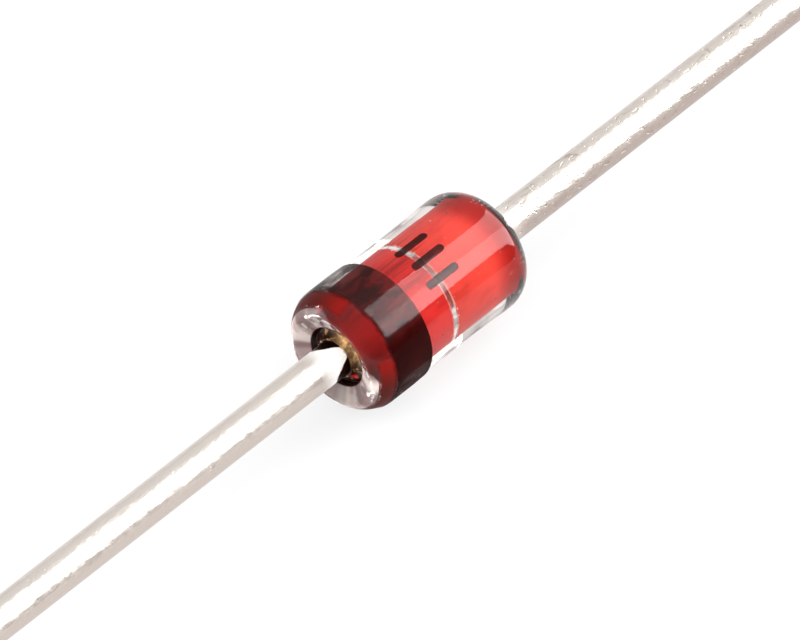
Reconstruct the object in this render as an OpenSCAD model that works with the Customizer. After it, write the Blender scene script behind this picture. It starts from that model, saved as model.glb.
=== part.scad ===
// Glass zener diode with axial leads, in millimetres.
// Two slugs clamp a silicon die inside a glass sleeve that is fused onto them, and a lead
// wire is welded to the outer face of each slug. The diode's axis lies along X, with the
// cathode and its ink band at -X, the anode at +X and the middle of the glass at the origin.

/* [Glass sleeve] */
// Outer diameter of the sleeve
body_d = 2.56; // [2.5:0.01:2.72]
// Length of the sleeve, from crest to crest of its rounded ends
body_l = 4.42; // [4.3:0.01:5.2]
// Diameter of the bore, which is fused onto the slugs
bore_d = 1.27; // [1.2:0.01:1.38]
// Radius of the fire-rounded outer edge at each end
end_round = 0.58; // [0.5:0.01:0.62]
// Angle that the outer edge's arc turns through before the crest
end_turn = 57; // [50:1:62]
// Radius of the crest of each end
crest_round = 0.12; // [0.08:0.01:0.16]
// Depth of the dish that leads from the crest of each end down to the bore
dish_depth = 0.15; // [0.1:0.01:0.2]
// Depth of the shallow waist that the glass draws over the die
waist_depth = 0.025; // [0.01:0.005:0.04]
// Length of the waist along the sleeve
waist_l = 2.6; // [2:0.1:3]

/* [Slugs and die] */
// Length of the cathode slug
cathode_slug_l = 2.08; // [2:0.01:2.2]
// Length of the anode slug
anode_slug_l = 1.76; // [1.7:0.01:1.9]
// Radius on the slugs' edges
slug_edge = 0.02; // [0.01:0.01:0.06]
// Distance that the slugs and die sit off the sleeve's middle, towards the anode
stack_shift = 0.22; // [0:0.01:0.3]
// Side of the square silicon die
die_side = 0.7; // [0.5:0.01:0.8]
// Thickness of the die
die_t = 0.08; // [0.06:0.01:0.2]
// Diameter of the plated silver bump on the die's anode face
bump_d = 0.46; // [0.3:0.01:0.5]
// Height of the bump
bump_h = 0.02; // [0.02:0.01:0.06]
// Thickness of the solder under the die's cathode face
solder_t = 0.02; // [0.02:0.01:0.05]

/* [Leads] */
// Diameter of the lead wires
lead_d = 0.76; // [0.71:0.01:0.86]
// Length of each lead beyond the end of the glass
lead_l = 26; // [25.4:0.1:38.1]
// Radius on the cut tips of the leads
tip_round = 0.06; // [0.02:0.01:0.15]
// Diameter of the leads at the slugs, where the weld's pressure has swollen them
root_d = 0.8; // [0.78:0.01:0.88]
// Length over which a swollen root tapers down to the wire
root_l = 0.45; // [0.4:0.01:0.8]
// Radius of the hollow flank of the weld between a slug's face and its lead
weld_fillet = 0.16; // [0.1:0.01:0.17]
// Thickness of the weld's thin edges on the slug and on the lead
weld_lip = 0.03; // [0.02:0.01:0.03]

/* [Cathode band] */
// Distance of the ink band from the cathode end of the glass
band_start = 0.38; // [0.36:0.01:1]
// Width of the ink band
band_w = 1.03; // [0.5:0.01:1.2]
// Thickness of the ink film
ink_t = 0.02; // [0.02:0.01:0.04]

/* [Hidden] */
$fn = 96;
body_r = body_d / 2;
bore_r = bore_d / 2;
lead_r = lead_d / 2;
root_r = root_d / 2;
half_l = body_l / 2;

// Centres of the two arcs that round each end: the outer arc swallows the crest's arc and
// shares its tangent point, which lies on the line through both centres
round_r = body_r - end_round;
crest_r = round_r + (end_round - crest_round) * cos(end_turn);
crest_x = half_l - crest_round;
round_x = crest_x - (end_round - crest_round) * sin(end_turn);

// The dish is the straight line from the bore's mouth that touches the crest's arc
mouth_x = half_l - dish_depth;
dish_l = norm([crest_x - mouth_x, crest_r - bore_r]);
dish_slope = atan2(crest_x - mouth_x, crest_r - bore_r) + asin(crest_round / dish_l);
dish_r = crest_r - crest_round * sin(dish_slope);
dish_x = crest_x + crest_round * cos(dish_slope);

// Places along the axis, from the cathode to the anode
gap_l = solder_t + die_t + bump_h;
cathode_gap_x = stack_shift - gap_l / 2;
anode_gap_x = stack_shift + gap_l / 2;
cathode_face_x = cathode_gap_x - cathode_slug_l;
anode_face_x = anode_gap_x + anode_slug_l;
die_x = cathode_gap_x + solder_t;
bump_x = die_x + die_t;
lead_tip_x = half_l + lead_l;
waist_arc_r = (pow(waist_l / 2, 2) + pow(waist_depth, 2)) / (2 * waist_depth);
// The waist is a short piece of a wide circle, so its preview needs many facets
waist_facets = 2880;

// Turns a half section, drawn as radius across and distance along the axis up, about X
module turned() {
    rotate([0, 90, 0]) rotate_extrude() children();
}

// A slice of a disc of radius r between two angles up to 180 degrees apart
module sector(r, from, to) {
    far = 2 * r;
    intersection() {
        circle(r);
        polygon([
            [0, 0],
            for (step = [0 : 3]) let (a = from + (to - from) * step / 3) far * [cos(a), sin(a)]
        ]);
    }
}

// Half section of a slug between two places along the axis, with its edges rounded
module slug_section(low, high) {
    flat_r = bore_r - slug_edge;
    polygon([
        [0, low], [flat_r, low], [flat_r, low + slug_edge], [bore_r, low + slug_edge],
        [bore_r, high - slug_edge], [flat_r, high - slug_edge], [flat_r, high], [0, high]
    ]);
    translate([flat_r, low + slug_edge]) sector(slug_edge, -90, 0);
    translate([flat_r, high - slug_edge]) sector(slug_edge, 0, 90);
}

// Half section of a lead that starts on a slug's face, with its root tapered and its tip rounded
module lead_section(face_x) {
    flat_r = lead_r - tip_round;
    round_start_x = lead_tip_x - tip_round;
    polygon([
        [0, face_x], [root_r, face_x], [lead_r, face_x + root_l], [lead_r, round_start_x],
        [flat_r, round_start_x], [flat_r, lead_tip_x], [0, lead_tip_x]
    ]);
    translate([flat_r, round_start_x]) sector(tip_round, 0, 90);
}

// One rounded end of the sleeve's wall, thickened outwards by grow
module wall_end(grow) {
    translate([round_r, round_x]) sector(end_round + grow, 0, end_turn);
    translate([crest_r, crest_x]) sector(crest_round + grow, end_turn, 90 + dish_slope);
}

// Half section of the sleeve's wall, thickened outwards by grow
module wall_section(grow = 0) {
    outer_r = body_r + grow;
    difference() {
        union() {
            polygon([
                [bore_r, -mouth_x], [dish_r, -dish_x], [crest_r, -crest_x], [round_r, -round_x],
                [outer_r, -round_x], [outer_r, round_x],
                [round_r, round_x], [crest_r, crest_x], [dish_r, dish_x], [bore_r, mouth_x]
            ]);
            wall_end(grow);
            mirror([0, 1]) wall_end(grow);
        }
        translate([body_r - waist_depth + waist_arc_r, stack_shift])
            circle(waist_arc_r - grow, $fn = waist_facets);
    }
}

module glass_sleeve() {
    color("lightcyan", 0.35) turned() wall_section();
}

// The ink follows the glass, so its film has one thickness over the waist and the rounding
module cathode_band() {
    color([0.08, 0.05, 0.06]) turned() difference() {
        intersection() {
            wall_section(ink_t);
            translate([crest_r, band_start - half_l]) square([body_r, band_w]);
        }
        wall_section();
    }
}

module slug(low, high) {
    color("firebrick") turned() slug_section(low, high);
}

module cathode_slug() slug(cathode_face_x, cathode_gap_x);

module anode_slug() slug(anode_gap_x, anode_face_x);

// A square plate across the axis, from a place along it
module square_plate(side, low, thick) {
    translate([low, -side / 2, -side / 2]) cube([thick, side, side]);
}

module die_solder() {
    color("lightgray") square_plate(die_side, cathode_gap_x, solder_t);
}

module zener_die() {
    color("dimgray") square_plate(die_side, die_x, die_t);
}

module anode_bump() {
    color("silver") turned() translate([0, bump_x]) square([bump_d / 2, bump_h]);
}

// The hollow-flanked ring of melted metal round a lead's root, drawn at the anode
module weld(face_x) {
    size = weld_fillet + weld_lip;
    color("darkgoldenrod") turned() difference() {
        translate([0, face_x]) square([root_r + size, size]);
        translate([root_r + size, face_x + size]) circle(weld_fillet);
        lead_section(face_x);
    }
}

module cathode_weld() mirror([1, 0, 0]) weld(-cathode_face_x);

module anode_weld() weld(anode_face_x);

module lead(face_x) {
    color("gainsboro") turned() lead_section(face_x);
}

module cathode_lead() mirror([1, 0, 0]) lead(-cathode_face_x);

module anode_lead() lead(anode_face_x);

glass_sleeve();
cathode_band();
cathode_slug();
anode_slug();
die_solder();
zener_die();
anode_bump();
cathode_weld();
anode_weld();
cathode_lead();
anode_lead();
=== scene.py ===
import math

import bpy
from mathutils import Matrix, Vector


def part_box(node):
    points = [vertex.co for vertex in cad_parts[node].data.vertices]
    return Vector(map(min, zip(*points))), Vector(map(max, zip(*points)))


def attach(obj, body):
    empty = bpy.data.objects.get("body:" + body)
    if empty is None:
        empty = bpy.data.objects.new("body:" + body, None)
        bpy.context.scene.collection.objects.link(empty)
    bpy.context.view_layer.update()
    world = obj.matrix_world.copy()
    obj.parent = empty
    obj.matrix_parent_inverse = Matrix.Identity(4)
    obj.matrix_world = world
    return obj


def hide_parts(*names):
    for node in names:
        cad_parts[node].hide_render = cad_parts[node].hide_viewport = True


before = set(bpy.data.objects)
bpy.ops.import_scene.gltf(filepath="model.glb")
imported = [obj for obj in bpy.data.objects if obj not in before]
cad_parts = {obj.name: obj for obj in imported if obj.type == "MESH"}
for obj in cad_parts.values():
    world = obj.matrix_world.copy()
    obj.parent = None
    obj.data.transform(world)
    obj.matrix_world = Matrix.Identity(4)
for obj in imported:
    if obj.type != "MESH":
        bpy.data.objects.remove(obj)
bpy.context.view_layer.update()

bl_info = {
    "name": "Glass zener diode",
    "version": (1, 0, 0),
    "blender": (4, 5, 0),
    "location": "View3D > Sidebar > Diode",
    "description": "Dresses a glass diode with axial leads and lights it on a pale floor",
    "category": "Add Mesh",
}

MM = 0.001
FULL_TURN = 2 * math.pi
QUARTER_TURN = math.pi / 2

# Steps round the axis of the spun pieces
BODY_STEPS = 192
WELD_STEPS = 120
WIRE_STEPS = 96

# Distance within which the vertices of a spun piece merge
MERGE_DISTANCE = 1e-6


# Places and sizes from the frame

def reach(node):
    """Lowest and highest place of a solid along the diode's axis"""
    low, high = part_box(node)
    return low[0], high[0]


def radius(node):
    """Largest distance of a solid from the diode's axis"""
    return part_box(node)[1][2]


GLASS_END = reach("glass_sleeve")[1]
CATHODE_FACE = reach("cathode_slug")[0]
CATHODE_GAP = reach("cathode_slug")[1]
ANODE_GAP = reach("anode_slug")[0]
ANODE_FACE = reach("anode_slug")[1]
BAND_LOW, BAND_HIGH = reach("cathode_band")
LEAD_TIP = reach("anode_lead")[1]
BODY_R = radius("glass_sleeve")
BORE_R = radius("cathode_slug")
ROOT_R = radius("anode_lead")
INK_T = radius("cathode_band") - BODY_R
DIE_PLACE = (CATHODE_GAP + ANODE_GAP) / 2
FLOOR_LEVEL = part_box("cathode_band")[0][2]

# Directions across the diode's axis: the side that faces the camera, its lower flank and the top
FACING = (0, -0.5718, 0.8205)
FLANK = (0, -FACING[2], FACING[1])
TOP = (0, 0.124, 0.992)

# Where finishes fade along the axis, in millimetres: the glass's cathode end, the anode's recess
# and the painted shade on the cathode's shoulder
CATHODE_END = (CATHODE_FACE / MM - 0.02, CATHODE_FACE / MM + 0.04)
ANODE_RECESS = (ANODE_FACE / MM - 0.09, ANODE_FACE / MM - 0.03)
SHOULDER_SHADE_END = (BAND_LOW / MM + 0.03, BAND_LOW / MM + 0.13)

# Distances from the axis, in millimetres, over which the recesses' and shoulder's painted shade
# fades
RECESS_WALL = (0.64, 0.67)
SHOULDER_SHADE_EDGE = (1.1, 1.17)

# Distance of the ground end's edge from the axis, in millimetres, off its flanks and on them
GROUND_EDGE = (0.96, 1.13)

# A run of red oxide on the cathode's weld, in millimetres
RED_RUN = (-1.99, -0.357, -0.31)

# Place of each bubble along the glass in millimetres, its angle round the glass in degrees, its
# distance from the axis in millimetres and its share of the full bubble radius
BUBBLES = (
    (0.963, -15.7, 1.15, 1.0),
    (1.327, -11.5, 1.15, 0.9),
    (-0.417, 82.5, 1.15, 1.0),
    (1.757, 64.4, 1.15, 0.8),
    (1.1, 89.0, 1.12, 0.7),
    (0.55, 11.5, 1.0, 0.6),
    (-0.1, -20.8, 0.984, 0.7),
    (1.5, 43.0, 1.026, 0.55),
    (-0.9, -131.2, 1.063, 0.9),
    (0.7, -115.3, 1.05, 0.8),
    (2.06, 10.9, 0.8, 0.7),
    (2.04, 4.9, 0.82, 1.0),
    (2.01, -1.1, 0.8, 1.2),
    (1.98, -7.1, 0.82, 1.1),
    (1.95, -12.1, 0.84, 0.8),
    (2.03, 68.9, 0.8, 0.8),
    (2, 75.9, 0.82, 1.1),
    (1.96, 81.9, 0.84, 0.9),
)

# How much longer than wide the bubbles are drawn
BUBBLE_STRETCH = 2.2

# Share of a lead's radius down to which a weld reaches into it, and the size of the weld's lumps
WELD_REACH = 0.9
LUMP_SIZE = 0.12 * MM

# Rows of faces across a plain bar
BAR_ROWS = 12

# Start of each plain bar along the glass in millimetres, and its angle round it in degrees
BAR_PLACES = ((-0.27, -4.5), (-0.27, 15.0), (-0.32, 35.7))

# Angle in radians within which a vertex belongs to a row of a bar
ROW_TOLERANCE = 0.004

# Direction of each lamp, direction of its width, its distance, width and height in metres
SOFTBOX = ((0.766, -0.3258, 0.5541), (0, 0.862, 0.5068), 0.6, 0.57, 0.51)
SOFTBOX_CORE = ((0.7432, -0.5252, 0.4146), (0.1859, 0.7572, 0.6261), 0.59, 0.26, 0.51)
LEFT_FILL = ((-0.65, 0.1, 0.75), (0, 0.9912, -0.1322), 0.6, 0.5, 0.5)
FRONT_FILL = ((0.1, -0.94, 0.32), (0.9944, 0.1058, 0), 0.6, 0.5, 0.3)

# Parts of a direction of length one: along Y where the room's back fades in, and along X where
# its left side fades out
ROOM_BACK = (-0.95, 0.1)
ROOM_LEFT = (-0.4, 0.2)

# Width of the floor in metres, and its cells across
FLOOR_WIDTH = 4
FLOOR_CELLS = 8

# Width of the camera's film in millimetres, and its near and far limits in metres
FILM_WIDTH = 36
CAMERA_REACH = (0.01, 50)


# Settings

def length(name, description, default):
    return bpy.props.FloatProperty(
        name=name, description=description, default=default * MM, unit="LENGTH", precision=6
    )


def colour(name, description, default):
    return bpy.props.FloatVectorProperty(
        name=name, description=description, default=default, subtype="COLOR", min=0, max=1
    )


def level(name, description, default):
    return bpy.props.FloatProperty(name=name, description=description, default=default, min=0)


def turn(name, description, default):
    return bpy.props.FloatProperty(
        name=name, description=description, default=math.radians(default), subtype="ANGLE"
    )


class DiodeSizes(bpy.types.PropertyGroup):
    """Sizes of the dressed pieces"""

    body_r: length("Glass radius", "Outer radius of the glass sleeve", BODY_R / MM)
    bore_r: length("Bore radius", "Radius of the bore and of the slugs", BORE_R / MM)
    end_round: length("End rounding", "Radius of the glass's outer edge at each end", 0.58)
    end_turn: turn("End turn", "Angle that the outer edge's arc turns through", 57)
    crest_round: length("Crest radius", "Radius of the crest of each end", 0.12)
    dish_depth: length("Dish depth", "Depth of the dish from each crest to the bore", 0.15)
    waist_depth: length("Waist depth", "Depth of the waist over the die", 0.025)
    waist_l: length("Waist length", "Length of the waist", 2.6)
    wetting: length("Wetting", "How far the fused glass keys into the slugs' skin", 0.004)
    slug_edge: length("Slug edge", "Radius on the slugs' edges", 0.02)
    lead_r: length("Lead radius", "Radius of the lead wires", 0.38)
    root_r: length("Root radius", "Radius of the leads at the slugs", ROOT_R / MM)
    root_l: length("Root length", "Length over which a root tapers down to the wire", 0.45)
    tip_round: length("Tip rounding", "Radius on the cut tips of the leads", 0.06)
    weld_fillet: length("Weld fillet", "Radius of the weld's hollow flank", 0.16)
    weld_lip: length("Weld lip", "Thickness of the weld's thin edges", 0.03)
    weld_lumps: length("Weld lumps", "Height of the lumps on the weld", 0.035)
    burr: length("Burr", "How far the slugs' edges are drawn towards the die", 0.02)
    ragged: length("Ragged edge", "How uneven the slugs' edges are at the die", 0.012)
    bubble_r: length("Bubble radius", "Radius of the small bubbles in the glass", 0.015)
    ink_t: length("Ink thickness", "Thickness of the band's ink film", INK_T / MM)
    bar_t: length("Bar thickness", "Thickness of the plain ink bars", 0.004)
    bar_l: length("Bar length", "Length of the plain ink bars along the glass", 0.86)
    bar_w: length("Bar width", "Width of the plain ink bars round the glass", 0.17)


class DiodeColours(bpy.types.PropertyGroup):
    """Colours of the dressed pieces"""

    glass: colour("Glass", "Tint of the clear glass", (0.935, 0.87, 0.835))
    ground: colour("Ground glass", "Cut end faces of the glass", (0.74, 0.64, 0.6))
    ground_dark: colour("Dull ground glass", "Duller wedges on the end faces", (0.26, 0.19, 0.19))
    # Painted shade along the glass's flanks
    flank_shade: colour("Film", "Brown film along the glass's flanks", (0.27, 0.15, 0.12))
    # Dark red painted as shade on the glass's cathode shoulder
    shoulder_red_shade: colour("Bled ink", "Ink that ran over the glass's cathode end", (0.07, 0.008, 0.006))
    # Painted shade on the glass in the recess round a lead's root
    recess_shade: colour("Soot", "Dark stain in the recess round a lead's root", (0.02, 0.004, 0.003))
    oxide: colour("Red oxide", "Main red of the cathode slug's skin", (0.99, 0.042, 0.036))
    oxide_pale: colour("Pale oxide", "Main red of the anode slug's skin", (0.99, 0.078, 0.056))
    oxide_dark: colour("Dark oxide", "Red of the streaks in the skin", (0.42, 0.008, 0.006))
    # Darker red, painted as shade at the slugs' ends and on the glass's cathode shoulder
    oxide_shaded: colour("Burnt oxide", "Red of the skin at the cathode's end", (0.44, 0.003, 0.002))
    # Pale copper for the painted highlight along the slugs' edges at the die and for the specks
    copper_glint: colour("Copper", "Scraped edges of the slugs at the die", (0.9, 0.6, 0.52))
    ink: colour("Ink", "Dark ink of the band and bars", (0.008, 0.0006, 0.0006))
    ink_pale: colour("Thin ink", "Ink where it lies thin", (0.025, 0.002, 0.002))
    tin: colour("Tin", "Bright tin on the leads", (0.9, 0.83, 0.76))
    # Near-white frosted tin, a painted highlight near the root
    tin_highlight: colour("Frosted tin", "Bright frosted tin at the welds", (0.98, 0.97, 0.95))
    # Dull patches on the leads; also the colour of the painted shade on their flanks
    tin_stain_and_shade: colour("Stained tin", "Dull patches on the leads", (0.46, 0.38, 0.34))
    # Dark weld metal: partly heat stain, partly painted shade of the recess
    bronze: colour("Bronze", "Heat-stained weld metal", (0.04, 0.012, 0.007))
    # Painted golden glints on the weld metal
    bronze_glint: colour("Bright bronze", "Bright spots of the weld metal", (0.98, 0.58, 0.24))
    silicon: colour("Silicon", "Grey of the die", (0.12, 0.12, 0.14))
    solder: colour("Solder", "Grey of the solder", (0.5, 0.5, 0.5))
    silver: colour("Silver", "Plated bump on the die", (0.86, 0.84, 0.8))


class StudioSettings(bpy.types.PropertyGroup):
    """Light, floor and camera"""

    softbox: level("Softbox", "Brightness of the softbox's face", 4.7)
    softbox_core: level("Softbox core", "Added brightness of the softbox's lower half", 2.8)
    left_fill: level("Left fill", "Brightness of the fill lamp at the upper left", 4.2)
    front_fill: level("Front fill", "Brightness of the fill lamp at the front", 3.4)
    room_back: level("Back of the room", "Brightness of the room behind the diode", 0.72)
    room_left: level("Left of the room", "Brightness of the room at the left", 0.28)
    room_front: level("Front of the room", "Brightness of the room on the camera's side", 0.18)
    floor_tone: level("Floor tone", "How white the floor is", 0.76)
    floor_lift: level("Floor lift", "Share of the floor that shows as plain white", 0.78)
    azimuth: turn("Azimuth", "Camera's angle round the diode", -48.6)
    elevation: turn("Elevation", "Camera's angle above the floor", 43.5)
    distance: length("Distance", "Camera's distance from the diode", 250)
    frame_w: length("Frame width", "Width of the view at the diode", 15.123)
    aim_right: length("Aim right", "Distance of the view's middle right of the glass", -0.174)
    aim_up: length("Aim up", "Distance of the view's middle above the glass", -0.37)


# Shader building

class Field:
    """A shader value; arithmetic on it adds Math nodes to its tree"""

    def __init__(self, tree, socket):
        self.tree = tree
        self.socket = socket

    def math(self, operation, first, second):
        return self.tree.add("ShaderNodeMath", {"operation": operation}, {0: first, 1: second})

    def __add__(self, other):
        return self.math("ADD", self, other)

    def __radd__(self, other):
        return self.math("ADD", other, self)

    def __sub__(self, other):
        return self.math("SUBTRACT", self, other)

    def __rsub__(self, other):
        return self.math("SUBTRACT", other, self)

    def __mul__(self, other):
        return self.math("MULTIPLY", self, other)

    def __pow__(self, other):
        return self.math("POWER", self, other)

    def __abs__(self):
        return self.math("ABSOLUTE", self, 0)


class ShaderTree:
    """A node tree that is being filled"""

    def __init__(self, owner):
        owner.use_nodes = True
        self.owner = owner
        self.nodes = owner.node_tree.nodes
        self.links = owner.node_tree.links
        self.nodes.clear()

    def add(self, kind, settings=None, sockets=None, output=0):
        """Adds any node: its settings first, then the values or links of its sockets"""
        node = self.nodes.new(kind)
        for key, value in (settings or {}).items():
            setattr(node, key, value)
        for key, value in (sockets or {}).items():
            socket = node.inputs[key]
            if isinstance(value, Field):
                self.links.new(value.socket, socket)
            elif socket.type == "RGBA" and len(value) == 3:
                socket.default_value = (*value, 1)
            else:
                socket.default_value = value
        return Field(self, node.outputs[output]) if node.outputs else node

    def place(self):
        """Object coordinates in millimetres"""
        here = self.add("ShaderNodeTexCoord", output="Object")
        return self.add(
            "ShaderNodeVectorMath", {"operation": "SCALE"}, {0: here, "Scale": 1 / MM}
        )

    def along(self, place):
        """Distance along the diode's axis, in millimetres"""
        return self.add("ShaderNodeSeparateXYZ", None, {0: place}, "X")

    def across(self, place):
        """The place with its distance along the axis taken out"""
        return self.add("ShaderNodeVectorMath", {"operation": "MULTIPLY"}, {0: place, 1: (0, 1, 1)})

    def out_of_axis(self, place):
        """Distance from the diode's axis, in millimetres"""
        return self.add(
            "ShaderNodeVectorMath", {"operation": "LENGTH"}, {0: self.across(place)}, "Value"
        )

    def round_axis(self, place):
        """Direction from the diode's axis, as a place on a circle of radius one"""
        return self.add("ShaderNodeVectorMath", {"operation": "NORMALIZE"}, {0: self.across(place)})

    def towards(self, place, way):
        """Distance of a place in a direction"""
        return self.add(
            "ShaderNodeVectorMath", {"operation": "DOT_PRODUCT"}, {0: place, 1: way}, "Value"
        )

    def noise(self, place, size, stretch=(1, 1, 1), detail=3, rough=0.55, shift=0, warp=0):
        """Noise whose features are about size millimetres, drawn out by stretch"""
        scaled = self.add(
            "ShaderNodeMapping",
            None,
            {0: place, "Location": (shift, shift, shift), "Scale": tuple(1 / s for s in stretch)},
        )
        return self.add(
            "ShaderNodeTexNoise",
            None,
            {
                "Vector": scaled,
                "Scale": 1 / size,
                "Detail": detail,
                "Roughness": rough,
                "Distortion": warp,
            },
            "Fac",
        )

    def step(self, value, low, high, at_low=0, at_high=1):
        """Smooth step from one value to another"""
        return self.add(
            "ShaderNodeMapRange",
            {"interpolation_type": "SMOOTHSTEP"},
            {
                "Value": value,
                "From Min": low,
                "From Max": high,
                "To Min": at_low,
                "To Max": at_high,
            },
        )

    def blend(self, share, first, second):
        """Mix of two colours; the node's colour sockets go by their numbers"""
        return self.add(
            "ShaderNodeMix", {"data_type": "RGBA"}, {0: share, 6: first, 7: second}, 2
        )

    def bronze(self, colours, place):
        """Dark stained metal, darker still as painted shade of the recess, with a run of red oxide
        and painted golden glints towards the camera at the cathode
        """
        spots = self.noise(place, 0.14, detail=3, shift=5)
        # Painted golden glints on the side that faces the camera, and in scattered spots
        gold_glint = self.step(self.towards(place, FACING), 0.2, 0.58)
        gold_glint = gold_glint * self.step(spots, 0.38, 0.58, 0.3, 1)
        gold_glint = gold_glint + self.step(spots, 0.58, 0.66, 0, 0.5)
        gold_glint = gold_glint * self.step(self.along(place), -0.1, 0.1, 1, 0)
        metal = self.blend(gold_glint, tuple(colours.bronze), tuple(colours.bronze_glint))
        away = self.add(
            "ShaderNodeVectorMath", {"operation": "DISTANCE"}, {0: place, 1: RED_RUN}, "Value"
        )
        return self.blend(self.step(away, 0.05, 0.12, 1, 0), metal, tuple(colours.oxide))

    def relief(self, height, depth, under=None):
        """Bump of a depth in millimetres, over another one if given"""
        sockets = {"Strength": 1, "Distance": depth * MM, "Height": height}
        if under is not None:
            sockets["Normal"] = under
        return self.add("ShaderNodeBump", None, sockets)

    def surface(self, shader):
        self.add("ShaderNodeOutputMaterial", None, {"Surface": shader})

    def principled(self, sockets):
        shader = self.add("ShaderNodeBsdfPrincipled", None, sockets)
        self.surface(shader)


# Finishes

def new_finish(name):
    return ShaderTree(bpy.data.materials.new(name))


def clear_glass(colours):
    """Clear sealing glass: ground cathode end, painted shade in the recesses and along the flanks,
    and painted dark red on the cathode's shoulder
    """
    tree = new_finish("clear_glass")
    place = tree.place()
    along = tree.along(place)
    out = tree.out_of_axis(place)
    way = tree.round_axis(place)
    facing = tree.towards(way, FACING)
    sideways = abs(tree.towards(way, FLANK))
    ripple = tree.noise(place, 0.9, (1.6, 1, 1), detail=1)
    lines = tree.noise(place, 0.16, (24, 1, 1), detail=2, shift=3)

    # Where each finish lies
    at_cathode = tree.step(along, *CATHODE_END, 1, 0)
    recess = (at_cathode + tree.step(along, *ANODE_RECESS)) * tree.step(out, *RECESS_WALL, 1, 0)
    rim = tree.step(sideways, 0.55, 0.85, *GROUND_EDGE)
    end = at_cathode * tree.step(out - rim, -0.03, 0.03, 1, 0)
    end = end * tree.step(facing, 0.5, 0.85, 1, 0) * (1 - recess)
    wedges = tree.step(tree.noise(way, 0.42, detail=1, shift=6), 0.35, 0.65)
    wedges = wedges * tree.step(facing, -1, -0.35, 0.3, 1)
    # Brown streaks painted as shade along the flanks that the camera sees as the outline
    flank_shade = tree.step(sideways, 0.86, 0.96) * tree.step(lines, 0.42, 0.62, 0.06, 0.5)
    # Dark red painted on the cathode's shoulder where the camera sees the outline: painted shade,
    # with the slug's shaded red painted in where it would show through the glass
    shoulder_shade = tree.step(sideways, 0.42, 0.6) * tree.step(out + (ripple - 0.5) * 0.1, *SHOULDER_SHADE_EDGE)
    shoulder_shade = shoulder_shade * tree.step(along, *SHOULDER_SHADE_END, 1, 0)

    # Colour of the finishes that cover the glass
    # Colour of that painted shade: darkest at the outline, with some of the slug's shaded red
    # further in
    shoulder_tone = tree.step(sideways, 0.5, 0.95, 0.62, 1)
    shoulder_tone = tree.blend(shoulder_tone, tuple(colours.oxide_shaded), tuple(colours.shoulder_red_shade))
    tone = tree.blend(wedges, tuple(colours.ground_dark), tuple(colours.ground))
    tone = tree.blend(flank_shade, tone, tuple(colours.flank_shade))
    tone = tree.blend(tree.step(shoulder_shade, 0, 0.1), tone, shoulder_tone)
    # Painted shade in the recesses round the leads
    tone = tree.blend(recess, tone, tuple(colours.recess_shade))
    ground = tree.add(
        "ShaderNodeBsdfPrincipled",
        None,
        {"Base Color": tone, "Roughness": 0.5, "Specular IOR Level": 0.05},
    )

    # The clear glass, and how far each finish covers it
    haze = tree.step(tree.noise(place, 0.5, detail=4, shift=7), 0.6, 0.8, 0.0, 0.03)
    relief = tree.relief(lines, 0.0008, tree.relief(ripple, 0.006))
    clear = tree.add(
        "ShaderNodeBsdfPrincipled",
        None,
        {
            "Base Color": tuple(colours.glass),
            "Roughness": haze + end * (0.08 + wedges * 0.2),
            "IOR": 1.56,
            "Specular Tint": (0.5, 0.5, 0.5),
            "Transmission Weight": 1,
            "Normal": tree.relief(wedges * end, 0.01, relief),
        },
    )
    share = end * (0.62 + wedges * 0.28) + recess * 0.95 + flank_shade * (1 - end)
    share = share * (1 - shoulder_shade) + shoulder_shade
    tree.surface(tree.add("ShaderNodeMixShader", None, {0: share, 1: clear, 2: ground}))
    return tree.owner


def red_oxide(colours, name, red, face, gap, end_shade, top_dark):
    """Red oxide skin with drawn streaks, painted shade at one end, darker on top, bare on the face
    """
    tree = new_finish(name)
    place = tree.place()
    along = tree.along(place)
    streaks = tree.noise(place, 0.07, (22, 1, 1), detail=4, rough=0.6, shift=2)
    mottle = tree.noise(place, 0.35, (2, 1, 1), detail=4, shift=5)
    from_face = abs(along - face / MM)
    from_gap = abs(along - gap / MM)

    # Dark streaks and mottle
    near_gap = tree.step(from_gap, 0.0, 0.75, 1, 0)
    upper = tree.step(tree.towards(place, FLANK), -0.2, 0.0, 1, 0)
    worn = tree.step(streaks, 0.5, 0.72) * (0.2 + near_gap * upper * 0.7)
    skin = tree.blend(worn, tuple(red), tuple(colours.oxide_dark))
    skin = tree.blend(tree.step(mottle, 0.47, 0.72, 0, 0.28), skin, tuple(colours.oxide_dark))

    # Darker on top, in streaks, and painted shade towards the end face
    darker_top = tree.step(tree.towards(place, TOP), 0.5, 0.61, 0, top_dark)
    darker_top = darker_top * tree.step(streaks, 0.4, 0.6, 0.45, 1.3)
    skin = tree.blend(darker_top, skin, tuple(colours.oxide_dark))
    skin = tree.blend(
        tree.step(from_face, 0.12, 0.75, end_shade, 0), skin, tuple(colours.oxide_shaded)
    )

    # Pale specks, partly painted glints; a painted highlight along the edge at the die; and the bare
    # end face
    specks = tree.noise(place, 0.045, (1.5, 1, 1), detail=1, shift=11)
    skin = tree.blend(tree.step(specks, 0.77, 0.82, 0, 0.7), skin, tuple(colours.copper_glint))
    edge_highlight = tree.step(from_gap, 0.005, 0.025, 1, 0)
    edge_highlight = edge_highlight * tree.step(tree.noise(place, 0.12, detail=3, shift=8), 0.35, 0.55, 0.1, 0.9)
    skin = tree.blend(edge_highlight, skin, tuple(colours.copper_glint))
    bare = tree.step(from_face, 0.0, 0.03, 1, 0)
    tree.principled(
        {
            "Base Color": tree.blend(bare, skin, tree.bronze(colours, place)),
            "Metallic": bare * 0.5,
            "Roughness": 0.42 - bare * 0.1 + (mottle - 0.5) * 0.2,
            "Specular IOR Level": 0.02,
            "Normal": tree.relief(streaks, 0.0025, tree.relief(mottle, 0.002)),
        }
    )
    return tree.owner


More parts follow.
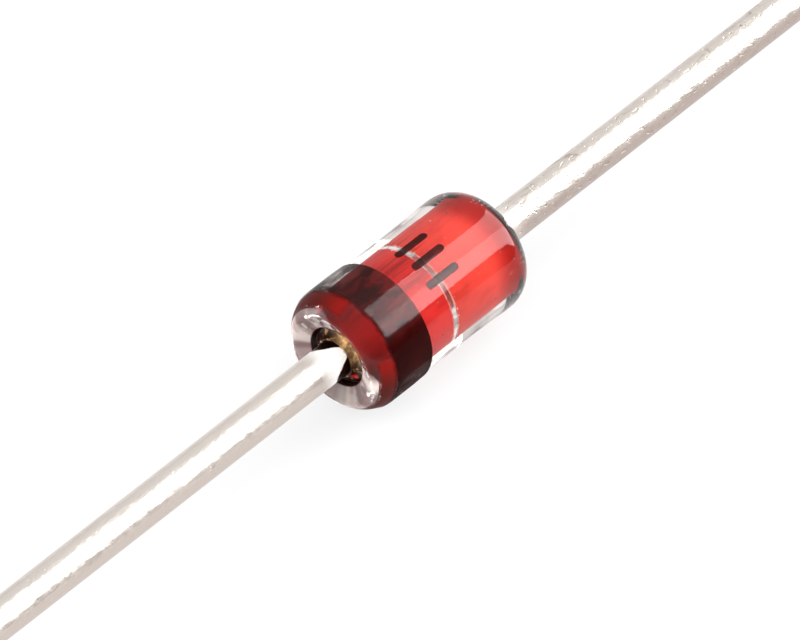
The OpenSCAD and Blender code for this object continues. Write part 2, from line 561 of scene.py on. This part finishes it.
def dark_ink(colours, name, layers, opacity, thin, feather):
    """Thin dark ink, seen through a number of layers, denser on the lower flank as painted shade,
    that fades out at the cathode's end
    """
    tree = new_finish(name)
    place = tree.place()
    flow = tree.noise(place, 0.3, (2, 1, 1), detail=4, warp=0.4)
    grain = tree.noise(place, 0.03, detail=3, shift=4)
    flank = tree.towards(place, FLANK)
    # Painted shade: the ink is made denser on the lower flank seen from the camera
    lower_shade = tree.step(flank, 0.1, 0.6)
    clear = tree.step(flow, 0.35, 0.65, 1 - opacity, 1 - opacity + thin) * (1 - lower_shade * 0.85)
    gloss = tree.step(flank, 0.3, 0.5, 0.58, 0.07) * tree.step(flank, -0.9, -0.5, 0.5, 1)
    start = BAND_LOW / MM
    fade = tree.step(tree.along(place) + (flow - 0.5) * 0.2, start - 0.02, start + feather)
    tree.principled(
        {
            "Base Color": tree.blend(flow, tuple(colours.ink), tuple(colours.ink_pale)),
            "Roughness": 0.5,
            "Specular IOR Level": 0,
            "Coat Weight": gloss,
            "Coat Roughness": 0.1,
            "Alpha": (1 - clear ** (1 / layers)) * fade,
            "Normal": tree.relief(grain, 0.0004, tree.relief(flow, 0.0015)),
        }
    )
    return tree.owner


def tinned_wire(colours, name, face, frosted, wear_and_shade, shift):
    """Bright tin with a grain, dull patches, pits, shaded flanks, and at the root painted shade and
    a near-white frosted band as a painted highlight
    """
    tree = new_finish(name)
    place = tree.place()
    grain = tree.noise(place, 0.11, (2, 1, 1), detail=4, shift=shift)
    swell = tree.noise(place, 0.5, (2, 1, 1), detail=3, shift=shift + 3)
    patch = tree.noise(place, 0.32, (1.8, 1, 1), detail=5, rough=0.62, shift=shift + 6, warp=0.6)
    pit = tree.noise(place, 0.09, (1.6, 1, 1), detail=2, shift=shift + 9)

    # Dull patches and pits
    dull = tree.step(patch, 0.66 - 0.12 * wear_and_shade, 0.78 - 0.1 * wear_and_shade, 0, 0.45 + 0.35 * wear_and_shade)
    pitted = tree.step(pit, 0.7 - 0.08 * wear_and_shade, 0.78 - 0.08 * wear_and_shade, 0, wear_and_shade)
    tone = tree.blend(dull, tuple(colours.tin), tuple(colours.tin_stain_and_shade))
    tone = tree.blend(pitted * 0.6, tone, tuple(colours.tin_stain_and_shade))

    # Shaded flanks
    flank = tree.towards(tree.round_axis(place), FLANK)
    shaded = tree.step(flank, 0.15, 0.7, 0, 0.58 + 0.36 * wear_and_shade)
    shaded = shaded + tree.step(flank, -0.98, -0.7, 0.4, 0)
    tone = tree.blend(shaded, tone, tuple(colours.tin_stain_and_shade))

    # Painted shade at the root, reaching higher up the flanks, and near-white frost beyond it as a
    # painted highlight
    from_face = abs(tree.along(place) - face / MM)
    climb = tree.step(abs(flank), 0.2, 0.95, 0.19, 0.55) + (patch - 0.5) * 0.25
    root_shade = tree.step(from_face - climb, -0.03, 0.03, 1, 0)
    frost_highlight = tree.step(from_face, 0.5, 1.0, frosted, 0) * (1 - root_shade)
    tone = tree.blend(frost_highlight, tone, tuple(colours.tin_highlight))

    relief = tree.relief(grain, 0.011 + 0.003 * wear_and_shade)
    relief = tree.relief(swell, 0.03 + 0.004 * wear_and_shade, relief)
    relief = tree.relief(1 - pitted, 0.014, relief)
    tree.principled(
        {
            "Base Color": tree.blend(root_shade, tone, tuple(colours.bronze)),
            "Metallic": 1 - frost_highlight,
            "Roughness": 0.27 + grain * 0.14 + dull * 0.2 + frost_highlight * 0.15,
            "Normal": relief,
        }
    )
    return tree.owner


def weld_bronze(colours):
    """Heat-stained weld metal with small lumps; its dark base is partly painted shade and its golden
    spots are painted glints
    """
    tree = new_finish("weld_bronze")
    place = tree.place()
    lumps = tree.noise(place, 0.14, detail=3)
    tree.principled(
        {
            "Base Color": tree.bronze(colours, place),
            "Metallic": 0.5,
            "Roughness": 0.22 + lumps * 0.2,
            "Normal": tree.relief(lumps, 0.02),
        }
    )
    return tree.owner


def plain_metal(name, tone, size, rough):
    """A dull metal with a cast grain"""
    tree = new_finish(name)
    place = tree.place()
    grain = tree.noise(place, size, detail=4)
    tree.principled(
        {
            "Base Color": tree.blend(grain * 0.5, tone, tuple(0.55 * c for c in tone)),
            "Metallic": 1.0,
            "Roughness": rough + grain * 0.15,
            "Normal": tree.relief(grain, size * 0.05),
        }
    )
    return tree.owner


def polished_silicon(colours):
    """Grey silicon with faint saw marks"""
    tree = new_finish("polished_silicon")
    place = tree.place()
    saw = tree.noise(place, 0.02, (1, 30, 1), detail=2)
    tree.principled(
        {
            "Base Color": tree.blend(
                saw, tuple(colours.silicon), tuple(1.8 * c for c in colours.silicon)
            ),
            "Metallic": 0.4,
            "Roughness": 0.2 + saw * 0.15,
            "Normal": tree.relief(saw, 0.001),
        }
    )
    return tree.owner


# Modelling

def clear_selection():
    if bpy.context.object and bpy.context.object.mode != "OBJECT":
        bpy.ops.object.mode_set(mode="OBJECT")
    bpy.ops.object.select_all(action="DESELECT")


def arc(centre, radius, start, end, steps):
    """Points of an arc as (along, out); angles run from straight out towards +X"""
    points = []
    for i in range(steps + 1):
        a = start + (end - start) * i / steps
        points.append((centre[0] + radius * math.sin(a), centre[1] + radius * math.cos(a)))
    return points


def straight(start, end, steps):
    """Points of a straight line, with both its ends"""
    return [
        tuple(a + (b - a) * i / steps for a, b in zip(start, end)) for i in range(steps + 1)
    ]


def mirrored(points):
    """The same line at the other end, drawn backwards"""
    return [(-x, r) for x, r in reversed(points)]


def turned_place(along, out, angle):
    """A place along the axis and out of it, at an angle from the top towards the front"""
    return Vector((along, -out * math.sin(angle), out * math.cos(angle)))


def spun(name, line, steps, angle=FULL_TURN, start_angle=0.0):
    """Draws a half section by extruding one vertex along it, and spins it about the axis"""
    clear_selection()
    bpy.ops.mesh.primitive_plane_add(size=MM)
    piece = bpy.context.object
    piece.name = name
    piece.data.name = name
    spot = [turned_place(x, r, start_angle) for x, r in line]
    bpy.ops.object.mode_set(mode="EDIT")
    bpy.ops.mesh.merge(type="CENTER")
    bpy.ops.transform.translate(value=spot[0])
    for here, there in zip(spot, spot[1:]):
        bpy.ops.mesh.extrude_region_move(TRANSFORM_OT_translate={"value": there - here})
    bpy.ops.mesh.select_all(action="SELECT")
    bpy.ops.mesh.spin(steps=steps, angle=angle, center=(0, 0, 0), axis=(1, 0, 0))
    bpy.ops.mesh.select_all(action="SELECT")
    bpy.ops.mesh.remove_doubles(threshold=MERGE_DISTANCE)
    bpy.ops.mesh.normals_make_consistent(inside=False)
    bpy.ops.object.mode_set(mode="OBJECT")
    return piece


def smooth(piece, degrees=None):
    clear_selection()
    bpy.context.view_layer.objects.active = piece
    piece.select_set(True)
    if degrees is None:
        bpy.ops.object.shade_smooth()
    else:
        bpy.ops.object.shade_smooth_by_angle(angle=math.radians(degrees))


def dress(piece, finish, node=None):
    """Gives a piece its finish and its place in the part"""
    piece.data.materials.clear()
    piece.data.materials.append(finish)
    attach(piece, "root")
    if node:
        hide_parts(node)


def select_points(piece, wanted):
    """Enters edit mode with only the vertices for which wanted(place) holds selected"""
    clear_selection()
    bpy.context.view_layer.objects.active = piece
    piece.select_set(True)
    bpy.ops.object.mode_set(mode="EDIT")
    bpy.ops.mesh.select_mode(type="VERT")
    bpy.ops.mesh.select_all(action="DESELECT")
    bpy.ops.object.mode_set(mode="OBJECT")
    for vertex in piece.data.vertices:
        vertex.select = wanted(vertex.co)
    bpy.ops.object.mode_set(mode="EDIT")


def out_of_axis(place):
    return math.hypot(place.y, place.z)


def waist_drop(sizes, x):
    """How far the glass draws in over the die at a place along it"""
    half = sizes.waist_l / 2
    off = x - DIE_PLACE
    if abs(off) >= half:
        return 0.0
    big = (half * half + sizes.waist_depth**2) / (2 * sizes.waist_depth)
    return sizes.waist_depth - (big - math.sqrt(big * big - off * off))


def end_centres(sizes):
    """Centres of the two arcs that round each end of the glass, as (along, out)"""
    neck = sizes.end_round - sizes.crest_round
    round_r = sizes.body_r - sizes.end_round
    crest = (GLASS_END - sizes.crest_round, round_r + neck * math.cos(sizes.end_turn))
    return (crest[0] - neck * math.sin(sizes.end_turn), round_r), crest


def glass_line(sizes, low, high, steps, lift=0.0):
    """Points along the outside of the glass, which follows its waist and its rounded ends"""
    (round_x, round_r), _ = end_centres(sizes)
    points = []
    for i in range(steps + 1):
        x = low + (high - low) * i / steps
        over = max(0.0, abs(x) - round_x)
        rounding = math.sqrt((sizes.end_round + lift) ** 2 - over * over)
        points.append((x, round_r + rounding - waist_drop(sizes, x)))
    return points


def roughened(piece, wanted, shift, amount, seed):
    """Shifts the chosen vertices, and then moves each a little at random"""
    select_points(piece, wanted)
    bpy.ops.transform.translate(value=shift)
    bpy.ops.transform.vertex_random(offset=amount, uniform=0.0, normal=0.0, seed=seed)
    bpy.ops.object.mode_set(mode="OBJECT")


# Pieces

class DIODE_OT_glass_sleeve(bpy.types.Operator):
    """Spin the fire-rounded glass sleeve and set small bubbles in its wall"""

    bl_idname = "diode.glass_sleeve"
    bl_label = "Glass sleeve"

    def execute(self, context):
        sizes = context.scene.diode_sizes
        inner = sizes.bore_r - sizes.wetting
        mouth_x = GLASS_END - sizes.dish_depth
        (round_x, round_r), crest = end_centres(sizes)
        along, out = crest[0] - mouth_x, crest[1] - inner
        slope = math.atan2(along, out) + math.asin(sizes.crest_round / math.hypot(along, out))
        outer_arc = arc((round_x, round_r), sizes.end_round, 0, sizes.end_turn, steps=24)
        crest_arc = arc(crest, sizes.crest_round, sizes.end_turn, QUARTER_TURN + slope, steps=16)
        dish = straight(crest_arc[-1], (mouth_x, inner), steps=8)
        end = outer_arc + crest_arc[1:] + dish[1:]
        bore = straight((mouth_x, inner), (-mouth_x, inner), steps=40)[1:-1]
        outside = glass_line(sizes, -round_x, round_x, steps=72)[1:-1]
        line = end + bore + mirrored(end) + outside
        piece = spun("glass_sleeve", line + line[:1], BODY_STEPS)
        self.add_bubbles(sizes, piece)
        smooth(piece)
        dress(piece, clear_glass(context.scene.diode_colours), "glass_sleeve")
        return {"FINISHED"}

    def add_bubbles(self, sizes, piece):
        """Joins drawn-out bubbles, turned inside out, into the glass"""
        for along, degrees, out, share in BUBBLES:
            place = turned_place(along * MM, out * MM, math.radians(degrees))
            clear_selection()
            bpy.ops.mesh.primitive_uv_sphere_add(
                segments=16, ring_count=8, radius=share * sizes.bubble_r, location=(0, 0, 0)
            )
            bubble = bpy.context.object
            bpy.ops.object.mode_set(mode="EDIT")
            bpy.ops.transform.resize(value=(BUBBLE_STRETCH, 1, 1))
            bpy.ops.transform.translate(value=place)
            bpy.ops.mesh.flip_normals()
            bpy.ops.object.mode_set(mode="OBJECT")
            bubble.select_set(True)
            piece.select_set(True)
            bpy.context.view_layer.objects.active = piece
            bpy.ops.object.join()


class DIODE_OT_slugs(bpy.types.Operator):
    """Spin the two red slugs and roughen their edges at the die"""

    bl_idname = "diode.slugs"
    bl_label = "Slugs"

    def execute(self, context):
        sizes = context.scene.diode_sizes
        colours = context.scene.diode_colours
        edge = sizes.slug_edge
        flat = sizes.bore_r - edge
        edge_zone = 2.5 * edge
        # Each slug's name, red, end face, gap, share of painted shade at its end and darkening on
        # top
        for name, red, face, gap, end_shade, top_dark in (
            ("cathode_slug", colours.oxide, CATHODE_FACE, CATHODE_GAP, 0.85, 0.6),
            ("anode_slug", colours.oxide_pale, ANODE_FACE, ANODE_GAP, 0.75, 0.0),
        ):
            low, high = sorted((face, gap))
            low_arc = arc((low + edge, flat), edge, -QUARTER_TURN, 0, steps=6)
            high_arc = arc((high - edge, flat), edge, 0, QUARTER_TURN, steps=6)
            side = straight(low_arc[-1], high_arc[0], steps=60)[1:-1]
            low_face = straight((low, 0), low_arc[0], steps=6)[:-1]
            high_face = straight(high_arc[-1], (high, 0), steps=6)[1:]
            line = low_face + low_arc + side + high_arc + high_face
            piece = spun(name, line, BODY_STEPS)

            def at_gap(place):
                return abs(place.x - gap) < edge_zone and out_of_axis(place) > flat - edge_zone

            burr = math.copysign(sizes.burr, gap - face)
            roughened(piece, at_gap, (burr, 0, 0), sizes.ragged, seed=len(name))
            smooth(piece, degrees=40)
            finish = red_oxide(colours, name + "_skin", red, face, gap, end_shade, top_dark)
            dress(piece, finish, name)
        return {"FINISHED"}


class DIODE_OT_die_stack(bpy.types.Operator):
    """Finish the die, its bump and its solder"""

    bl_idname = "diode.die_stack"
    bl_label = "Die and its joints"

    def execute(self, context):
        colours = context.scene.diode_colours
        finishes = {
            "zener_die": polished_silicon(colours),
            "die_solder": plain_metal("dull_solder", tuple(colours.solder), size=0.05, rough=0.35),
            "anode_bump": plain_metal("plated_silver", tuple(colours.silver), size=0.04, rough=0.25),
        }
        for node, finish in finishes.items():
            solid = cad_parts[node]
            solid.data.materials.clear()
            solid.data.materials.append(finish)
        return {"FINISHED"}


class DIODE_OT_leads(bpy.types.Operator):
    """Spin the two tinned lead wires"""

    bl_idname = "diode.leads"
    bl_label = "Lead wires"

    def execute(self, context):
        sizes = context.scene.diode_sizes
        colours = context.scene.diode_colours
        # Each lead's name, face, side, share of near-white frost painted as a highlight, wear, which
        # also deepens its painted shade, and noise shift
        for name, face, side, frosted, wear_and_shade, shift in (
            ("cathode_lead", -CATHODE_FACE, -1, 1.0, 0.25, 1),
            ("anode_lead", ANODE_FACE, 1, 0.25, 1.0, 17),
        ):
            tip_centre = (LEAD_TIP - sizes.tip_round, sizes.lead_r - sizes.tip_round)
            tip = arc(tip_centre, sizes.tip_round, 0, QUARTER_TURN, steps=8)
            root_end = (face + sizes.root_l, sizes.lead_r)
            root = straight((face, sizes.root_r), root_end, steps=8)[:-1]
            wire = straight(root_end, tip[0], steps=64)[:-1]
            line = [(face, 0)] + root + wire + tip + [(LEAD_TIP, 0)]
            piece = spun(name, [(side * x, r) for x, r in line], WIRE_STEPS)
            smooth(piece, degrees=40)
            finish = tinned_wire(colours, name + "_tin", side * face, frosted, wear_and_shade, shift)
            dress(piece, finish, name)
        return {"FINISHED"}


class DIODE_OT_welds(bpy.types.Operator):
    """Spin the hollow-flanked welds and make them lumpy"""

    bl_idname = "diode.welds"
    bl_label = "Welds"

    def execute(self, context):
        sizes = context.scene.diode_sizes
        finish = weld_bronze(context.scene.diode_colours)
        size = sizes.weld_fillet + sizes.weld_lip
        inner = WELD_REACH * sizes.lead_r
        for name, face, side in (
            ("cathode_weld", -CATHODE_FACE, -1),
            ("anode_weld", ANODE_FACE, 1),
        ):
            corner = (face + size, sizes.root_r + size)
            flank = arc(corner, sizes.weld_fillet, -QUARTER_TURN, -2 * QUARTER_TURN, steps=16)
            line = [(face, corner[1])] + flank + [(corner[0], inner), (face, inner)]
            piece = spun(name, [(side * x, r) for x, r in line + line[:1]], WELD_STEPS)
            self.make_lumpy(piece, sizes.weld_lumps)
            smooth(piece, degrees=50)
            dress(piece, finish, name)
        return {"FINISHED"}

    def make_lumpy(self, piece, height):
        """Pushes the weld's skin in and out with soft noise"""
        lumps = bpy.data.textures.new(piece.name + "_lumps", "CLOUDS")
        lumps.noise_scale = LUMP_SIZE
        lumps.noise_depth = 2
        bpy.ops.object.modifier_add(type="DISPLACE")
        push = piece.modifiers[-1]
        push.texture = lumps
        push.texture_coords = "LOCAL"
        push.strength = height
        push.mid_level = 0.5
        bpy.ops.object.modifier_apply(modifier=push.name)


class DIODE_OT_cathode_band(bpy.types.Operator):
    """Spin the ink band that marks the cathode"""

    bl_idname = "diode.cathode_band"
    bl_label = "Cathode band"

    def execute(self, context):
        sizes = context.scene.diode_sizes
        outside = glass_line(sizes, BAND_LOW, BAND_HIGH, steps=24, lift=sizes.ink_t)
        inside = glass_line(sizes, BAND_LOW, BAND_HIGH, steps=24, lift=-sizes.wetting)
        line = outside + inside[::-1]
        piece = spun("cathode_band", line + line[:1], BODY_STEPS)
        smooth(piece, degrees=40)
        colours = context.scene.diode_colours
        finish = dark_ink(colours, "band_ink", layers=2, opacity=0.97, thin=0.24, feather=0.1)
        dress(piece, finish, "cathode_band")
        return {"FINISHED"}


class DIODE_OT_ink_bars(bpy.types.Operator):
    """Lay three plain ink bars on the glass where a type mark would be"""

    bl_idname = "diode.ink_bars"
    bl_label = "Plain ink bars"

    def execute(self, context):
        sizes = context.scene.diode_sizes
        colours = context.scene.diode_colours
        finish = dark_ink(colours, "bar_ink", layers=1, opacity=0.97, thin=0.06, feather=0.01)
        half_w, half_l = sizes.bar_w / 2, sizes.bar_l / 2
        half_swing = half_w / sizes.body_r
        for number, (start, degrees) in enumerate(BAR_PLACES, 1):
            low = start * MM
            turn_to = math.radians(degrees)
            line = glass_line(sizes, low, low + sizes.bar_l, steps=12, lift=sizes.bar_t)
            piece = spun(
                f"ink_bar_{number}", line, BAR_ROWS, 2 * half_swing, turn_to + half_swing
            )
            for row in range(BAR_ROWS + 1):
                off = 2 * row / BAR_ROWS - 1
                inset = half_w * (1 - math.sqrt(1 - off * off))
                self.draw_in(piece, turn_to + off * half_swing, low + half_l, 1 - inset / half_l)
            smooth(piece, degrees=40)
            dress(piece, finish)
        return {"FINISHED"}

    def draw_in(self, piece, angle, middle, share):
        """Shortens one row of a bar about its middle, so that the bar's ends come out round"""
        def in_row(place):
            return abs(math.atan2(-place.y, place.z) - angle) < ROW_TOLERANCE

        select_points(piece, in_row)
        bpy.ops.transform.resize(value=(share, 1, 1), center_override=(middle, 0, 0))
        bpy.ops.object.mode_set(mode="OBJECT")


# Stage

class DIODE_OT_stage(bpy.types.Operator):
    """Lay a pale floor and set the softbox, the room's light and the camera"""

    bl_idname = "diode.stage"
    bl_label = "Floor, light and camera"

    def execute(self, context):
        scene = context.scene
        studio = scene.studio_settings
        self.lay_floor(studio)
        self.light_room(scene, studio)
        self.hang_lamp("softbox", SOFTBOX, studio.softbox)
        self.hang_lamp("softbox_core", SOFTBOX_CORE, studio.softbox_core)
        self.hang_lamp("left_fill", LEFT_FILL, studio.left_fill).visible_glossy = False
        self.hang_lamp("front_fill", FRONT_FILL, studio.front_fill).visible_glossy = False
        self.set_camera(scene, studio)
        scene.view_settings.view_transform = "Standard"
        return {"FINISHED"}

    def lay_floor(self, studio):
        clear_selection()
        bpy.ops.mesh.primitive_grid_add(
            x_subdivisions=FLOOR_CELLS,
            y_subdivisions=FLOOR_CELLS,
            size=FLOOR_WIDTH,
            location=(0, 0, FLOOR_LEVEL),
        )
        floor = bpy.context.object
        floor.name = "floor"
        tree = new_finish("pale_floor")
        seen = tree.add("ShaderNodeLightPath", output="Is Camera Ray")
        mirrored_ray = tree.add("ShaderNodeLightPath", output="Is Glossy Ray")
        through = tree.add("ShaderNodeLightPath", output="Is Transmission Ray")
        shows = (seen + mirrored_ray + through) * studio.floor_lift
        paper = tree.add(
            "ShaderNodeBsdfDiffuse", None, {"Color": (studio.floor_tone,) * 3}
        )
        plain = tree.add("ShaderNodeEmission", None, {"Color": (1, 1, 1), "Strength": 1})
        tree.surface(tree.add("ShaderNodeMixShader", None, {0: shows, 1: paper, 2: plain}))
        floor.data.materials.append(tree.owner)

    def light_room(self, scene, studio):
        scene.world = bpy.data.worlds.new("room")
        tree = ShaderTree(scene.world)
        way = tree.add("ShaderNodeTexCoord", output="Generated")
        back = tree.step(tree.add("ShaderNodeSeparateXYZ", None, {0: way}, "Y"), *ROOM_BACK)
        left = tree.step(tree.add("ShaderNodeSeparateXYZ", None, {0: way}, "X"), *ROOM_LEFT, 1, 0)
        side = studio.room_front + left * (studio.room_left - studio.room_front)
        tone = side + back * (studio.room_back - side)
        room = tree.add("ShaderNodeBackground", None, {"Color": tone, "Strength": 1})
        tree.add("ShaderNodeOutputWorld", None, {"Surface": room})

    def hang_lamp(self, name, lamp_place, brightness):
        """Hangs a lamp that faces the diode and whose face has a given brightness"""
        out, across, distance, width, height = lamp_place
        lamp = bpy.data.lights.new(name, "AREA")
        lamp.shape = "RECTANGLE"
        lamp.size = width
        lamp.size_y = height
        lamp.energy = brightness * math.pi * width * height
        box = bpy.data.objects.new(name, lamp)
        bpy.context.scene.collection.objects.link(box)
        out = Vector(out).normalized()
        across = Vector(across).normalized()
        up = out.cross(across).normalized()
        box.location = out * distance
        box.rotation_mode = "QUATERNION"
        box.rotation_quaternion = Matrix((across, up, out)).transposed().to_quaternion()
        return box

    def set_camera(self, scene, studio):
        a, e = studio.azimuth, studio.elevation
        out = Vector((math.sin(a) * math.cos(e), -math.cos(a) * math.cos(e), math.sin(e)))
        right = Vector((math.cos(a), math.sin(a), 0))
        up = out.cross(right)
        lens = bpy.data.cameras.new("camera")
        lens.sensor_width = FILM_WIDTH
        lens.lens = lens.sensor_width * studio.distance / studio.frame_w
        lens.clip_start, lens.clip_end = CAMERA_REACH
        camera = bpy.data.objects.new("camera", lens)
        scene.collection.objects.link(camera)
        camera.location = out * studio.distance + right * studio.aim_right + up * studio.aim_up
        camera.rotation_mode = "QUATERNION"
        camera.rotation_quaternion = out.to_track_quat("Z", "Y")
        scene.camera = camera


# Panel and registration

class DIODE_PT_panel(bpy.types.Panel):
    """Lists the diode's pieces"""

    bl_idname = "DIODE_PT_panel"
    bl_label = "Diode"
    bl_space_type = "VIEW_3D"
    bl_region_type = "UI"
    bl_category = "Diode"

    def draw(self, context):
        column = self.layout.column()
        for operator in OPERATORS:
            column.operator(operator.bl_idname)


OPERATORS = (
    DIODE_OT_glass_sleeve,
    DIODE_OT_slugs,
    DIODE_OT_die_stack,
    DIODE_OT_leads,
    DIODE_OT_welds,
    DIODE_OT_cathode_band,
    DIODE_OT_ink_bars,
    DIODE_OT_stage,
)
GROUPS = (DiodeSizes, DiodeColours, StudioSettings)


def register():
    for made in GROUPS + OPERATORS + (DIODE_PT_panel,):
        bpy.utils.register_class(made)
    bpy.types.Scene.diode_sizes = bpy.props.PointerProperty(type=DiodeSizes)
    bpy.types.Scene.diode_colours = bpy.props.PointerProperty(type=DiodeColours)
    bpy.types.Scene.studio_settings = bpy.props.PointerProperty(type=StudioSettings)


def unregister():
    del bpy.types.Scene.studio_settings
    del bpy.types.Scene.diode_colours
    del bpy.types.Scene.diode_sizes
    for made in reversed(GROUPS + OPERATORS + (DIODE_PT_panel,)):
        bpy.utils.unregister_class(made)


def main():
    register()
    bpy.ops.diode.glass_sleeve()
    bpy.ops.diode.slugs()
    bpy.ops.diode.die_stack()
    bpy.ops.diode.leads()
    bpy.ops.diode.welds()
    bpy.ops.diode.cathode_band()
    bpy.ops.diode.ink_bars()
    bpy.ops.diode.stage()


if __name__ == "__main__":
    main()
